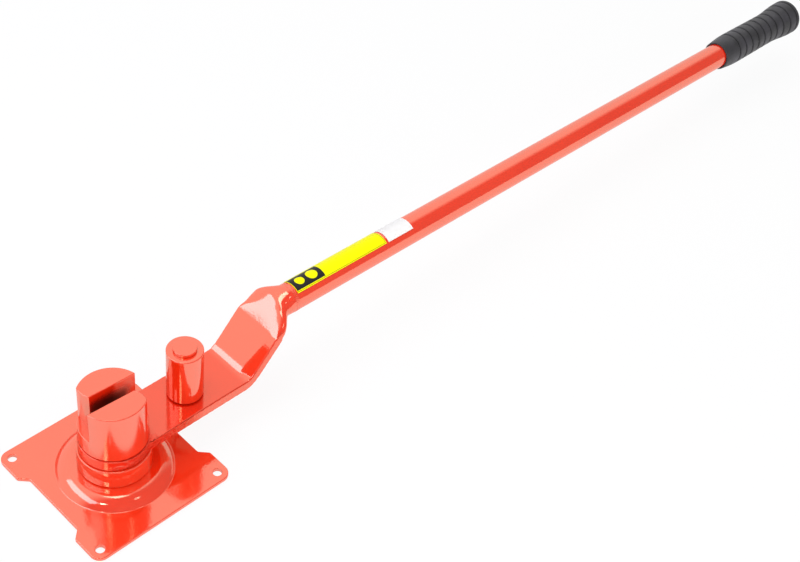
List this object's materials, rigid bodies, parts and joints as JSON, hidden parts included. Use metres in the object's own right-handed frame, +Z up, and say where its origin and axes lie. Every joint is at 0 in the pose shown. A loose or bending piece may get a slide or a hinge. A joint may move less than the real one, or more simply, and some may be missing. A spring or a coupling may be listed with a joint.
{
  "type": "rebar bender",
  "caption": "Bench-mounted rebar bender: slotted post on a pressed base plate, and a cranked lever with a roller pin and rubber grip that swings round it.",
  "frame": {"origin": "centre of the base plate's underside, on the axis of the post", "axes": "+Z up along the post's axis, +X along the lever towards its grip, +Y to the lever's left"},
  "size_m": [1.1378, 0.15, 0.1059],
  "materials": {
    "red_paint": "gloss powder coat over steel",
    "bright_steel": "turned, greased",
    "bronze": "turned bearing bronze",
    "black_rubber": "matt moulded rubber",
    "yellow_label": "printed film",
    "white_label": "printed film"
  },
  "bodies": {
    "base": {"base_plate": "red_paint", "base_boss": "red_paint", "boss_weld": "red_paint", "pivot_shaft": "bright_steel", "shaft_weld": "red_paint", "slotted_head": "red_paint", "head_plug_weld": "red_paint", "lower_thrust_washer": "bright_steel"},
    "lever": {"crank_arm": "red_paint", "arm_bush": "bronze", "upper_thrust_washer": "bright_steel", "handle_tube": "red_paint", "tube_weld": "red_paint", "bending_pin": "red_paint", "pin_weld": "red_paint", "roller_washer": "bright_steel", "handle_grip": "black_rubber", "size_label": "yellow_label", "mark_label": "white_label"},
    "roller": {"pin_roller": "red_paint"}
  },
  "joints": [
    {"name": "arm_swing", "type": "hinge", "parent": "base", "child": "lever", "pos_m": [0, 0, 0.041], "axis": [0, 0, 1], "continuous": true},
    {"name": "roller_spin", "type": "hinge", "parent": "lever", "child": "roller", "pos_m": [0.08, 0, 0.075], "axis": [0, 0, 1], "continuous": true}
  ]
}
